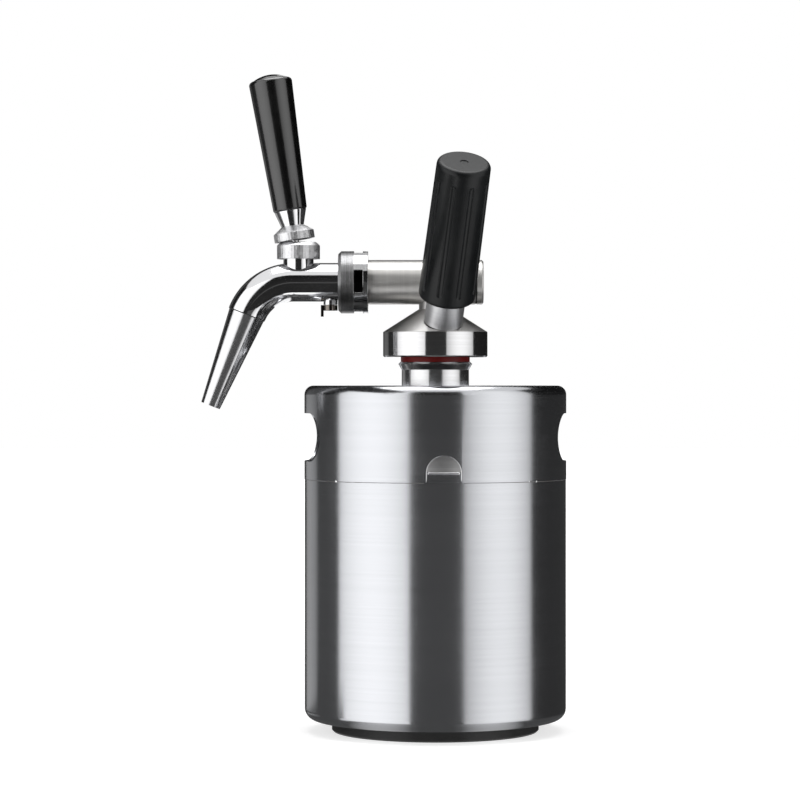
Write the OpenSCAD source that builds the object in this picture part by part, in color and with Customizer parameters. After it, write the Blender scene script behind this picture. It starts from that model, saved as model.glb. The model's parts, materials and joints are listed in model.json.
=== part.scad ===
// Mini keg for nitro cold brew coffee, with a gas holder and a draught tap.
// Origin at the centre of the foot's underside, +Z up, the tap points along -X.

/* [Keg] */
// Diameter of the rubber foot
foot_d = 103; // [90:1:118]
// Height of the rubber foot
foot_h = 6; // [4:0.5:12]
// Bevel round the foot's lower edge
foot_bevel = 0.8; // [0.4:0.1:2]
// Diameter of the keg body
body_d = 130; // [124:1:150]
// Height of the body from its base to the chime seam
body_h = 119.5; // [90:0.5:220]
// Radius of the body's lower corner
body_corner_r = 5.5; // [3:0.5:10]
// Thickness of the body and dome sheet
sheet_t = 0.8; // [0.6:0.1:1.5]
// Height of the rebate that carries the chime
rebate_h = 4; // [3:0.5:8]
// Width of the flat ledge round the dome
ledge_w = 4; // [2:0.5:8]
// Height of the dome above the ledge
dome_h = 19; // [10:0.5:26]
// How far the chime stands proud of the body
chime_proud = 0.2; // [0:0.1:1]
// Thickness of the chime sheet
chime_t = 1; // [0.8:0.1:2]
// Height of the chime from the seam to its rim
chime_h = 46.3; // [42:0.1:54]
// Radius of the rolled rim
rim_r = 4.5; // [2.5:0.5:6]
// Width of each grip window
grip_w = 58.2; // [40:0.2:70]
// Height of each grip window
grip_h = 23.7; // [16:0.1:26]
// Height of the grip windows' centre above the seam
grip_rise = 20.8; // [19:0.1:26]
// Width of each drain arch
drain_w = 17.4; // [10:0.2:22]
// Height of each drain arch above the seam
drain_h = 13.2; // [12:0.1:18]
// Turn of the keg under the tap, in degrees
keg_turn = 3; // [-20:1:20]

/* [Neck and closure] */
// Outer diameter of the neck
neck_d = 33.5; // [32.5:0.1:36]
// Bore of the neck
neck_bore_d = 28.6; // [27:0.1:29.6]
// Height of the neck's mouth above the seam
neck_rise = 58; // [54:0.5:70]
// Length of neck below the dome's crown
neck_root = 4; // [2:0.5:8]
// Diameter of the neck's lip
lip_d = 36.8; // [36.5:0.1:42]
// Height of the lip
lip_h = 3.8; // [2.5:0.1:6]
// Outer diameter of the cap seal
seal_d = 34.4; // [33:0.1:36]
// Thickness of the cap seal
seal_t = 2.5; // [1.5:0.1:4]
// Diameter of the cap's band
cap_d = 52; // [48:0.5:64]
// Height of the cap's band
band_h = 12.5; // [10:0.5:18]
// Bevel of the band's edges
band_bevel = 0.6; // [0.2:0.1:1.5]
// Slope of the cap's cone, in degrees
cap_slope = 32.5; // [28:0.5:38]
// Length of the cap's screw stub below the seal
stub_len = 14; // [10:0.5:20]
// Radial clearance where a screw thread turns
thread_gap = 0.3; // [0.2:0.05:0.5]
// Outer diameter of the dip tube
dip_d = 8; // [6:0.5:10]
// Wall of the dip tube
dip_wall = 0.8; // [0.5:0.1:1.5]
// Gap between the dip tube and the keg's floor
dip_gap = 6; // [3:0.5:15]
// Height of the dip tube's grommet
grommet_h = 3; // [2:0.5:5]
// Wall of the dip tube's grommet
grommet_wall = 2; // [1.5:0.1:3]

/* [Column and shank] */
// Diameter of the riser post
post_d = 16.3; // [14:0.1:18]
// Liquid bore of the riser post
post_bore_d = 6; // [4:0.5:7]
// Diameter of the post's two spigots
spigot_d = 11; // [9.5:0.5:12]
// Length of the post's lower spigot
spigot_len = 10; // [7:0.5:11]
// Height of the shank's axis above the cap
shank_rise = 13.4; // [13:0.1:24]
// Outer diameter of the shank
shank_d = 22.2; // [20.5:0.1:24]
// Bore of the shank
shank_bore_d = 13; // [11:0.5:14]
// Reach of the shank's closed end from the keg's axis
shank_back = 23.9; // [18:0.1:40]
// Thickness of the end plug's head
plug_head_t = 3.2; // [2:0.1:5]
// Bevel of the end plug's head
plug_bevel = 0.8; // [0.3:0.1:1.5]
// Length of the end plug's tail
plug_tail_len = 6; // [4:0.5:8]
// Thickness of the end plug's seal
plug_seal_t = 0.8; // [0.5:0.1:1.5]

/* [Coupling] */
// Reach of the nut's front face from the keg's axis
nut_front = 48.3; // [45:0.1:56]
// Outer diameter of the coupling nut
nut_d = 31; // [29:0.1:34]
// Length of the nut's front band
nut_front_len = 7.8; // [6:0.1:10]
// Length of the nut's slotted band
nut_slot_len = 4.5; // [3:0.1:6]
// Length of the nut's rear band
nut_rear_len = 2.5; // [1.5:0.1:4]
// Bevel of the nut's front edge
nut_bevel = 1.5; // [0.5:0.1:2]
// Number of spanner slots
nut_slots = 4; // [3:1:6]
// Width of each spanner slot, in degrees
slot_angle = 42; // [20:1:50]
// Depth of the spanner slots
slot_depth = 2.4; // [1:0.1:2.5]
// Length of the nut's inner lip
nut_lip_len = 2; // [1.5:0.1:3]
// Length of the faucet's tail flange
tail_len = 2; // [1.5:0.1:3]
// Thickness of the shank washer
washer_t = 1.5; // [1:0.1:2.5]

/* [Faucet] */
// Outer diameter of the faucet's barrel
barrel_d = 19.2; // [18.5:0.1:20]
// Bore of the faucet's barrel
barrel_bore_d = 10.4; // [10:0.1:11]
// Lead of the bend's start ahead of the lever's pivot
bend_lead = 2.45; // [1.5:0.05:4]
// Radius of the bend's centreline
bend_r = 25; // [22:0.5:32]
// Step of the filled inner corner below the bend's tube
corner_step = 0.2; // [0.15:0.05:0.5]
// Tilt of the nozzle from the vertical, in degrees
nozzle_tilt = 21.7; // [15:0.1:28]
// Length of the nozzle
nozzle_len = 49.1; // [35:0.1:70]
// Diameter of the nozzle at its joint
nozzle_top_d = 18.4; // [17.6:0.1:19]
// Diameter of the nozzle at its tip
nozzle_tip_d = 9.9; // [8:0.1:13]
// Wall of the nozzle at its tip
nozzle_wall = 1.2; // [0.8:0.1:2]
// Length of the nozzle's spigot inside the bend
nozzle_spigot_len = 4; // [3:0.1:6]
// Outer diameter of the nozzle's spigot
nozzle_spigot_d = 14; // [13.4:0.1:14.6]
// Bore of the nozzle's spigot and of the nozzle's upper end
nozzle_bore_d = 10; // [9.4:0.1:10.6]
// Thickness of the nozzle seal
nozzle_seal_t = 1.2; // [0.8:0.1:2]
// Thickness of the restrictor disc
restrictor_t = 1.2; // [0.8:0.1:2]
// Number of jets in the restrictor disc
restrictor_jets = 5; // [3:1:7]
// Diameter of each jet
jet_d = 1; // [0.6:0.1:1.4]
// Length of the flow straightener
straightener_len = 9; // [6:0.5:14]
// Number of channels round the straightener's middle
channels = 6; // [4:1:6]
// Diameter of the straightener's channels
channel_d = 2; // [1.2:0.1:2.3]
// Step in the nozzle that carries the straightener
nozzle_step = 1; // [0.6:0.1:1.4]

/* [Lever and handle] */
// Lead of the lever's pivot ahead of the coupling nut
pivot_lead = 19.9; // [18.5:0.1:24]
// Height of the pivot above the barrel's axis
pivot_rise = 9.2; // [9:0.1:11]
// Lean of the closed lever towards the nozzle, in degrees
lever_lean = 8.8; // [0:0.1:10]
// Travel of the lever from closed to open, in degrees
lever_travel = 20; // [10:1:20]
// Radius of the lever's ball
ball_r = 4.6; // [4.4:0.05:4.7]
// Running clearance round the ball
ball_gap = 0.1; // [0.06:0.01:0.2]
// Outer diameter of the socket on the barrel
socket_d = 15; // [14.6:0.1:16]
// Bore of the socket for the two rings that hold the ball
socket_bore_d = 12.4; // [12:0.1:12.8]
// Height of the ball's lower seat
seat_ring_h = 1.8; // [1.2:0.1:2]
// Height of the friction ring above the ball
friction_h = 4; // [3.2:0.1:4.4]
// Gap from the ball's equator to each ring
ring_off = 1; // [0.8:0.1:1.4]
// Clearance round the swinging lever
swing_gap = 0.4; // [0.2:0.05:0.6]
// Diameter of the bonnet
bonnet_d = 21.4; // [20:0.1:23]
// Height of the bonnet's lower edge above the pivot
bonnet_low = 2.4; // [1.6:0.1:2.6]
// Radius of the bonnet's domed top about the pivot
bonnet_dome_r = 14; // [13.4:0.1:14.8]
// Diameter of the opening in the bonnet's top
bonnet_mouth_d = 18; // [17.6:0.1:18.8]
// Clearance between the lever collar and the bonnet's dome
collar_gap = 0.4; // [0.3:0.05:0.8]
// Diameter of the lever collar
collar_d = 20.2; // [18.2:0.1:20.5]
// Height of the collar's rim above the pivot
collar_rim = 11.9; // [11.6:0.1:12.4]
// Height of the collar's side
collar_side_h = 3.9; // [3.4:0.1:6]
// Height of the collar's shoulder
collar_shoulder_h = 3.2; // [1.5:0.1:5]
// Diameter of the collar's top
collar_top_d = 11.6; // [10.6:0.1:14]
// Diameter of the lever's stem
stem_d = 4; // [3.4:0.1:4.2]
// Diameter of the lever's lower arm
arm_d = 3; // [2.4:0.1:3.2]
// Diameter of the ferrule at the collar
ferrule_low_d = 11.2; // [9:0.1:11.4]
// Diameter of the ferrule at the handle
ferrule_top_d = 15.9; // [13:0.1:17]
// Length of the ferrule
ferrule_len = 7.7; // [5:0.1:12]
// Diameter of the handle at its lower end
handle_low_d = 16.9; // [16:0.1:20]
// Diameter of the handle at its upper end
handle_top_d = 21.6; // [20.5:0.1:27]
// Length of the handle
handle_len = 68.6; // [50:0.1:110]
// Height of the handle's domed top
handle_dome_h = 2.4; // [2:0.1:6]
// Rounding of the handle's upper edge
handle_edge_r = 2; // [0.8:0.1:3]
// Rounding of the handle's lower edge
handle_low_edge = 0.8; // [0.4:0.1:1.5]
// Diameter of the threaded insert in the handle
insert_d = 9; // [8:0.1:11]
// Length of the threaded insert
insert_len = 20; // [12:0.5:30]
// Free thread left in the insert above the stem
insert_spare = 4; // [2:0.5:8]

/* [Valve] */
// Lead of the valve seat ahead of the lever's pivot
seat_lead = 6.8; // [6.6:0.1:8]
// Length of the seat's throat
seat_len = 2; // [1.5:0.1:3]
// Diameter of the seat's throat
seat_d = 7.2; // [6.4:0.1:8]
// Thickness of the seat seal
seat_seal_t = 1.5; // [1:0.1:2]
// Diameter of the plunger's head
head_d = 8.6; // [8.3:0.1:8.8]
// Thickness of the plunger's head
head_t = 1.4; // [1:0.1:2]
// Diameter of the plunger's rod
rod_d = 4; // [3:0.1:5]
// Running clearance of the plunger's guide in the barrel
guide_gap = 0.08; // [0.04:0.01:0.1]
// Length of the plunger's guide behind and before the lever's slot
guide_end = 1.6; // [1:0.1:2]
// Width across the guide's two flow flats
guide_flat_w = 7; // [5.5:0.1:8]
// Radius of the lever's lower tip
tip_r = 2; // [1.6:0.1:2.1]
// Clearance of the tip in the plunger's slot
tip_gap = 0.3; // [0.2:0.05:0.5]

/* [Flow control] */
// Lead of the flow shaft ahead of the coupling nut
flow_lead = 3.9; // [3.6:0.1:4.6]
// Drop of the flow boss below the barrel
flow_boss_drop = 1.6; // [1:0.1:2.5]
// Diameter of the flow boss and of the lever's hub
flow_hub_d = 7; // [6:0.1:7.2]
// Height of the flow lever's hub
flow_hub_h = 2.7; // [1.8:0.1:4]
// Reach of the flow lever's arm from its shaft
flow_arm = 4.8; // [4:0.1:5.4]
// Width of the flow lever's arm
flow_arm_w = 4; // [2.5:0.1:5]
// Thickness of the flow lever's finger tab
flow_tab_t = 1.4; // [1:0.1:2]
// Drop of the finger tab below the hub
flow_tab_drop = 3; // [1.5:0.1:5]
// Diameter of the flow shaft
flow_shaft_d = 3.6; // [3:0.1:4]
// Clearance of the crank pin in its slot
crank_gap = 0.1; // [0.05:0.01:0.2]
// Running clearance of the flow shaft
flow_gap = 0.06; // [0.03:0.01:0.1]
// Gap between the flow lever and its boss
flow_face_gap = 0.2; // [0.1:0.05:0.4]
// Radius of the flow shaft's crank
crank_r = 0.8; // [0.6:0.05:0.9]
// Radius of the crank pin
crank_pin_r = 0.8; // [0.6:0.05:0.9]
// Height of the crank pin
crank_pin_h = 2; // [1.5:0.1:2.4]
// Turn of the flow lever, in degrees
flow_travel = 80; // [40:5:90]
// Length of the compensator
compensator_len = 7; // [6.4:0.1:7.6]
// Length of the compensator's nose cone
compensator_nose = 2.2; // [1:0.1:2.4]
// Diameter of the compensator's nose
compensator_nose_d = 7; // [6:0.1:8.4]
// Liquid bore of the compensator
compensator_bore_d = 3.4; // [2.5:0.1:4]
// Height of the flow shaft's seal
flow_seal_h = 1.2; // [0.8:0.1:1.6]
// Wall of the flow shaft's seal
flow_seal_wall = 0.8; // [0.6:0.1:1]

/* [Gas] */
// Tilt of the gas holder from the vertical, in degrees
gas_tilt = 30; // [25:0.5:35]
// Turn of the gas holder from the front towards the shank's closed end, in degrees
gas_turn = 12.5; // [0:0.5:40]
// Clearance between the grip's lower edge and the shank
grip_shank_gap = 1.3; // [0.9:0.1:2]
// Depth of the port's flat seat in the cone
gas_seat = 1.5; // [1:0.1:2]
// Diameter of the port's collar
port_d = 19; // [17:0.1:20]
// Length of the port's collar above the cone
port_len = 13.2; // [12:0.1:20]
// Diameter of the port's spigot in the cap
port_spigot_d = 9; // [8:0.1:9.6]
// Length of the port's spigot
port_spigot_len = 6; // [4:0.5:6.5]
// Thickness of the port seal
port_seal_t = 1; // [0.6:0.1:1.2]
// Diameter of the port's threaded stud
stud_d = 18.4; // [17:0.1:18.6]
// Length of the port's threaded stud
stud_len = 9; // [6:0.5:9.5]
// Gas passage through the port and the cap
gas_bore_d = 2.4; // [1.6:0.1:2.6]
// Thickness of the check valve's flange
valve_flange_t = 1.2; // [0.8:0.1:1.6]
// Length of the check valve's bill
valve_bill_len = 3; // [2:0.1:3.2]
// Diameter of the check valve's bill
valve_bill_d = 4.4; // [3.6:0.1:5]
// Diameter of the check valve's opening
valve_bore_d = 1; // [0.6:0.1:1.2]
// Free space under the check valve
valve_room = 0.5; // [0.3:0.1:0.8]
// Diameter of the gas cartridge
cart_d = 18.2; // [17:0.1:18.3]
// Length of the gas cartridge
cart_len = 66; // [55:0.5:75]
// Diameter of the cartridge's neck
cart_neck_d = 8.8; // [7.5:0.1:9]
// Length of the cartridge's neck
cart_neck_len = 9; // [8:0.1:12]
// Length of the cartridge's shoulder
cart_shoulder_len = 7; // [5:0.1:10]
// Radius of the cartridge's domed end
cart_crown_r = 14.5; // [10:0.5:24]
// Depth of the cartridge's socket in the stud
socket_depth = 6.5; // [5:0.1:7]
// Clearance round the cartridge
cart_gap = 0.3; // [0.2:0.05:0.6]
// Thickness of the cartridge gasket
gasket_t = 1.2; // [0.8:0.1:1.6]
// Diameter of the pierce pin
pin_d = 2; // [1.6:0.1:2.2]
// Diameter of the pierce pin's tip
pin_tip_d = 1; // [0.9:0.1:1.2]
// Bore of the pierce pin
pin_bore_d = 0.7; // [0.4:0.1:0.8]
// Length of the pierce pin's point above the gasket
pin_point = 2.4; // [1.5:0.1:3]
// Depth of the pierce pin's foot in the port
pin_foot = 3; // [2:0.1:5]
// Wall of the cartridge sleeve
sleeve_wall = 1.7; // [1.2:0.1:2]
// Thickness of the sleeve's closed end
sleeve_end_t = 1.5; // [1:0.1:3]
// Diameter of the grip at its lower end
grip_low_d = 28; // [27.4:0.1:32]
// Diameter of the grip at its upper end
grip_top_d = 26.2; // [25.8:0.1:32]
// Thickness of the grip over the sleeve's end
grip_end_t = 2; // [1.5:0.1:4]
// Rounding of the grip's upper edge
grip_edge_r = 2.4; // [1:0.1:3]
// Rounding of the grip's lower edge
grip_low_edge_r = 2; // [1:0.1:2.4]
// Number of grooves in the grip
grooves = 9; // [6:1:12]
// Depth of the grooves at the grip's middle
groove_depth = 0.7; // [0.3:0.1:0.8]
// Radius of the grooves' section
groove_r = 2.2; // [1.5:0.1:3]
// Length left plain at the grip's upper end
groove_top = 7; // [4:0.5:12]
// Length left plain at the grip's lower end
groove_low = 5; // [3:0.5:10]
// Diameter of the shallow dimple in the grip's end
dimple_d = 4; // [2:0.2:8]
// Depth of the dimple
dimple_depth = 0.4; // [0.2:0.1:0.8]

/* [Hidden] */
$fn = 72;
// Fit of one fixed piece in another
fit_gap = 0.05;
// Overshoot of a cut past the face it leaves
over = 1;
// Land between the dip tube and the post's spigot
dip_land = 2;
// Inset of a face seal from the edge of its face
seal_inset = 0.4;
// Share of the lip's height taken by its side and by its bevel
lip_edge = lip_h / 4;

foot_r = foot_d / 2;
body_r = body_d / 2;
chime_r = body_r + chime_proud;
rebate_r = chime_r - chime_t - fit_gap;
dome_base_r = rebate_r - ledge_w;
neck_r = neck_d / 2;
cap_r = cap_d / 2;
post_r = post_d / 2;
stub_r = neck_bore_d / 2 - thread_gap;
dip_r = dip_d / 2;
spigot_r = spigot_d / 2;
shank_r = shank_d / 2;
shank_bore_r = shank_bore_d / 2;
nut_r = nut_d / 2;
barrel_r = barrel_d / 2;
barrel_bore_r = barrel_bore_d / 2;
nozzle_spigot_r = nozzle_spigot_d / 2;
nozzle_bore_r = nozzle_bore_d / 2;
socket_r = socket_d / 2;
socket_bore_r = socket_bore_d / 2;
bonnet_r = bonnet_d / 2;
bonnet_mouth_r = bonnet_mouth_d / 2;
collar_r = collar_d / 2;
stem_r = stem_d / 2;
arm_r = arm_d / 2;
port_r = port_d / 2;
port_spigot_r = port_spigot_d / 2;
stud_r = stud_d / 2;
cart_r = cart_d / 2;
cart_neck_r = cart_neck_d / 2;
sleeve_bore_r = max(cart_r + cart_gap, stud_r + thread_gap);
sleeve_r = sleeve_bore_r + sleeve_wall;
flow_hub_r = flow_hub_d / 2;
flow_shaft_r = flow_shaft_d / 2;

// Levels up the keg's axis
seam_z = foot_h + body_h;
ledge_z = seam_z + rebate_h;
rim_z = seam_z + chime_h;
crown_z = ledge_z + dome_h;
mouth_z = seam_z + neck_rise;
cap_z = mouth_z + seal_t;
band_z = cap_z + band_h;
cap_top_z = band_z + (cap_r - post_r) * tan(cap_slope);
stub_z = mouth_z - stub_len;
spigot_z = cap_top_z - spigot_len;
dip_top_z = spigot_z - dip_land;
dip_low_z = foot_h + sheet_t + dip_gap;
tap_z = cap_top_z + shank_rise;

// Places along the shank, measured towards the tap
nut_rear = nut_front - nut_front_len - nut_slot_len - nut_rear_len;
nut_bore_r = shank_r + thread_gap;
tail_front = nut_front - nut_lip_len - fit_gap;
tail_rear = tail_front - tail_len;
shank_front = tail_rear - washer_t;
plug_face = shank_back - plug_head_t;
flow_reach = nut_front + flow_lead;
pivot_reach = nut_front + pivot_lead;
bend_reach = pivot_reach + bend_lead;
seat_reach = pivot_reach + seat_lead;

// Bend and nozzle
bend_angle = 90 - nozzle_tilt;
joint_x = -bend_reach - bend_r * sin(bend_angle);
joint_z = tap_z - bend_r + bend_r * cos(bend_angle);
seat_turn = asin((seat_reach + seat_len - bend_reach) / bend_r);

// Lever
pivot_z = tap_z + pivot_rise;
bonnet_mouth_h = sqrt(pow(bonnet_dome_r, 2) - pow(bonnet_mouth_r, 2));
max_lean = lever_lean + lever_travel;
ball_seat_low = ring_off + seat_ring_h;
socket_top = ring_off + friction_h;
ball_hold_h = ball_r / 2;
ball_hold_r = sqrt(pow(ball_r + ball_gap, 2) - pow(ball_hold_h, 2));
friction_mouth_r = socket_top * tan(max_lean) + stem_r / cos(max_lean) + swing_gap;
arm_hole_r = (pivot_rise - barrel_bore_r) * tan(max_lean) + arm_r / cos(max_lean) + swing_gap;
collar_cave_r = bonnet_dome_r + collar_gap;
collar_top = collar_rim + collar_side_h + collar_shoulder_h;
handle_low = collar_top + ferrule_len;
handle_top = handle_low + handle_len;
stem_top = handle_low + insert_len - insert_spare;
tip_x = -pivot_reach + pivot_rise * sin(lever_lean);

// Plunger
guide_r = barrel_bore_r - guide_gap;
slot_half = tip_r + tip_gap;
guide_front = tip_x - slot_half - guide_end;
guide_rear = tip_x + slot_half + guide_end;
head_front = -seat_reach + seat_seal_t;

// Flow control
flow_boss_z = tap_z - barrel_r - flow_boss_drop;
flow_hub_top = flow_boss_z - flow_face_gap;
flow_hub_z = flow_hub_top - flow_hub_h;
flow_shaft_top = tap_z - barrel_bore_r - flow_face_gap;
crank_rest = -flow_travel / 2;

// Gas axis: a place t along it is measured from the cone's surface
gas_axis_gap = shank_r + grip_low_d / 2 - grip_low_edge_r + grip_shank_gap;
gas_skew = sqrt(pow(sin(gas_tilt) * cos(gas_turn), 2) + pow(cos(gas_tilt), 2)) / cos(gas_turn);
gas_drop = tap_z - band_z - cap_r * tan(cap_slope);
gas_reach = (gas_axis_gap * gas_skew - gas_drop * sin(gas_tilt))
    / (cos(gas_tilt) + sin(gas_tilt) * tan(cap_slope));
gas_cross_z = band_z + (cap_r - gas_reach) * tan(cap_slope);
port_seat_t = port_seal_t - gas_seat;
spigot_low_t = port_seat_t - port_spigot_len;
valve_low_t = spigot_low_t - valve_flange_t - valve_bill_len;
port_hole_low_t = valve_low_t - valve_room;
stud_top_t = port_len + stud_len;
gasket_low_t = stud_top_t - socket_depth;
cart_low_t = gasket_low_t + gasket_t;
cart_top_t = cart_low_t + cart_len;
sleeve_top_t = cart_top_t + cart_gap + sleeve_end_t;
grip_top_t = sleeve_top_t + grip_end_t;
grip_len = grip_top_t - port_len;
gas_way_r = gas_reach + valve_low_t * sin(gas_tilt);
gas_way_z = gas_cross_z + valve_low_t * cos(gas_tilt);

// Turned frame of the keg
module on_keg() {
    rotate([0, 0, keg_turn]) children();
}

// Shank frame: local +Z runs along +X on the tap's axis
module along_shank() {
    translate([0, 0, tap_z]) rotate([0, 90, 0]) children();
}

// Nozzle frame: local +Z runs down the nozzle from its joint
module along_nozzle() {
    translate([joint_x, 0, joint_z]) rotate([0, 180 + nozzle_tilt, 0]) children();
}

// Lever frame: local +Z runs up the lever from its pivot
module along_lever() {
    translate([-pivot_reach, 0, pivot_z]) rotate([0, -lever_lean, 0]) children();
}

// Gas frame: local +Z runs up the gas axis from the cone's surface
module along_gas() {
    rotate([0, 0, gas_turn])
        translate([0, -gas_reach, gas_cross_z])
            rotate([gas_tilt, 0, 0]) children();
}

// Plain ring from z0 to z1
module ring(r_out, r_in, z0, z1) {
    translate([0, 0, z0]) difference() {
        cylinder(r = r_out, h = z1 - z0);
        translate([0, 0, -over]) cylinder(r = r_in, h = z1 - z0 + 2 * over);
    }
}

// Half section of a drum with a round lower edge
module drum_section(r, h, corner) {
    translate([0, corner]) square([r, h - corner]);
    square([r - corner, h]);
    translate([r - corner, corner]) circle(corner);
}

// Bend of the faucet, from turn a0 to its end
module bend(r, a0) {
    translate([-bend_reach, 0, tap_z - bend_r])
        rotate([90, 0, 0]) rotate([0, 0, 90 + a0])
            rotate_extrude(angle = bend_angle - a0) translate([bend_r, 0]) circle(r);
}

// Filled inner corner of the bend, where the barrel and the nozzle's line cross
module bend_corner() {
    corner_r = barrel_r - corner_step;
    cross_len = bend_r * tan(bend_angle / 2);
    intersection() {
        along_shank() translate([0, 0, -bend_reach - cross_len - barrel_d])
            cylinder(r = corner_r, h = cross_len + barrel_d + over);
        along_nozzle() translate([0, 0, -cross_len - barrel_d])
            cylinder(r = corner_r, h = cross_len + barrel_d);
        translate([-bend_reach, 0, tap_z - bend_r]) rotate([90, 0, 0])
            cylinder(r = bend_r, h = barrel_d, center = true);
    }
}

module base_foot() {
    color([0.08, 0.08, 0.08]) rotate_extrude() polygon([
        [0, 0], [foot_r - foot_bevel, 0], [foot_r, foot_bevel], [foot_r, foot_h], [0, foot_h]
    ]);
}

module keg_body() {
    color("silver") translate([0, 0, foot_h]) rotate_extrude() difference() {
        union() {
            drum_section(body_r, body_h, body_corner_r);
            translate([0, body_corner_r]) square([rebate_r, body_h - body_corner_r + rebate_h]);
        }
        translate([0, sheet_t])
            drum_section(body_r - sheet_t, body_h - 2 * sheet_t, body_corner_r - sheet_t);
        translate([0, body_corner_r]) square([rebate_r - sheet_t, body_h + rebate_h]);
    }
}

module keg_dome() {
    sphere_r = (pow(dome_base_r, 2) + pow(dome_h, 2)) / (2 * dome_h);
    color("silver") rotate_extrude() difference() {
        union() {
            translate([dome_base_r - sheet_t, ledge_z]) square([ledge_w + sheet_t, sheet_t]);
            intersection() {
                translate([0, crown_z - sphere_r]) circle(sphere_r);
                translate([0, ledge_z]) square([dome_base_r, dome_h]);
            }
        }
        translate([0, crown_z - sphere_r]) circle(sphere_r - sheet_t);
        translate([0, ledge_z]) square([neck_r + fit_gap, dome_h + over]);
    }
}

module neck_ferrule() {
    lip_r = lip_d / 2;
    root_z = crown_z - neck_root;
    color("silver") rotate_extrude() polygon([
        [neck_bore_d / 2, root_z],
        [neck_r, root_z],
        [neck_r, mouth_z - lip_h],
        [lip_r, mouth_z - lip_edge],
        [lip_r - lip_edge, mouth_z],
        [neck_bore_d / 2, mouth_z]
    ]);
}

module top_chime() {
    color("silver") on_keg() difference() {
        rotate_extrude() union() {
            translate([chime_r - chime_t, seam_z]) square([chime_t, chime_h - rim_r]);
            translate([chime_r - rim_r, rim_z - rim_r]) intersection() {
                difference() {
                    circle(rim_r);
                    circle(rim_r - chime_t);
                }
                translate([-rim_r, 0]) square([2 * rim_r, rim_r]);
            }
        }
        grip_windows();
        drain_arches();
    }
}

// Both grip windows in one cut across the keg
module grip_windows() {
    end_r = grip_h / 2;
    reach = grip_w / 2 - end_r;
    translate([0, 0, seam_z + grip_rise]) rotate([90, 0, 90])
        linear_extrude(height = 2 * (chime_r + over), center = true) {
            square([2 * reach, grip_h], center = true);
            for (side = [-1, 1]) translate([side * reach, 0]) circle(end_r);
        }
}

// Both drain arches in one cut across the keg
module drain_arches() {
    arch_r = drain_w / 2;
    leg_h = drain_h - arch_r;
    translate([0, 0, seam_z]) rotate([90, 0, 0])
        linear_extrude(height = 2 * (chime_r + over), center = true) {
            translate([-arch_r, -over]) square([drain_w, leg_h + over]);
            translate([0, leg_h]) circle(arch_r);
        }
}

module cap_seal() {
    color("firebrick") ring(seal_d / 2, neck_bore_d / 2, mouth_z, cap_z);
}

module cap() {
    color("gainsboro") difference() {
        rotate_extrude() polygon([
            [0, stub_z],
            [stub_r, stub_z],
            [stub_r, cap_z],
            [cap_r - band_bevel, cap_z],
            [cap_r, cap_z + band_bevel],
            [cap_r, band_z],
            [post_r, cap_top_z],
            [0, cap_top_z]
        ]);
        // socket of the riser post
        translate([0, 0, spigot_z]) cylinder(r = spigot_r + fit_gap, h = spigot_len + over);
        // liquid way and the dip tube's socket
        translate([0, 0, dip_top_z - over])
            cylinder(r = post_bore_d / 2, h = spigot_z - dip_top_z + 2 * over);
        translate([0, 0, stub_z - over])
            cylinder(r = dip_r + fit_gap, h = dip_top_z - stub_z + over);
        translate([0, 0, stub_z - over])
            cylinder(r = dip_r + grommet_wall + fit_gap, h = grommet_h + over);
        // seat and hole of the gas port
        along_gas() {
            translate([0, 0, -gas_seat]) cylinder(r = port_r + fit_gap, h = port_len);
            translate([0, 0, port_hole_low_t])
                cylinder(r = port_spigot_r + fit_gap, h = port_seat_t - port_hole_low_t);
        }
        // gas way down to the keg
        rotate([0, 0, gas_turn]) translate([0, -gas_way_r, stub_z - over])
            cylinder(r = gas_bore_d / 2, h = gas_way_z - stub_z + over);
    }
}

module dip_tube() {
    color("silver") ring(dip_r, dip_r - dip_wall, dip_low_z, dip_top_z);
}

module dip_tube_grommet() {
    color([0.15, 0.15, 0.15])
        ring(dip_r + grommet_wall, dip_r + fit_gap, stub_z, stub_z + grommet_h);
}

module riser_post() {
    color("gainsboro") difference() {
        union() {
            translate([0, 0, spigot_z]) cylinder(r = spigot_r, h = spigot_len);
            difference() {
                translate([0, 0, cap_top_z]) cylinder(r = post_r, h = shank_rise);
                along_shank() cylinder(r = shank_r + fit_gap, h = 2 * post_d, center = true);
            }
            translate([0, 0, cap_top_z])
                cylinder(r = spigot_r, h = shank_rise - shank_bore_r - fit_gap);
        }
        translate([0, 0, spigot_z - over])
            cylinder(r = post_bore_d / 2, h = spigot_len + shank_rise + over);
    }
}

module shank() {
    color("gainsboro") difference() {
        along_shank() ring(shank_r, shank_bore_r, -shank_front, plug_face - plug_seal_t);
        translate([0, 0, tap_z - shank_r - over])
            cylinder(r = spigot_r + fit_gap, h = shank_r + over);
    }
}

module end_plug() {
    color("gainsboro") along_shank() {
        rotate_extrude() polygon([
            [0, plug_face - plug_seal_t - plug_tail_len],
            [shank_bore_r - fit_gap, plug_face - plug_seal_t - plug_tail_len],
            [shank_bore_r - fit_gap, plug_face],
            [shank_r, plug_face],
            [shank_r, shank_back - plug_bevel],
            [shank_r - plug_bevel, shank_back],
            [0, shank_back]
        ]);
    }
}

module end_plug_seal() {
    color([0.15, 0.15, 0.15]) along_shank()
        ring(shank_r - seal_inset, shank_bore_r, plug_face - plug_seal_t, plug_face);
}

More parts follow.
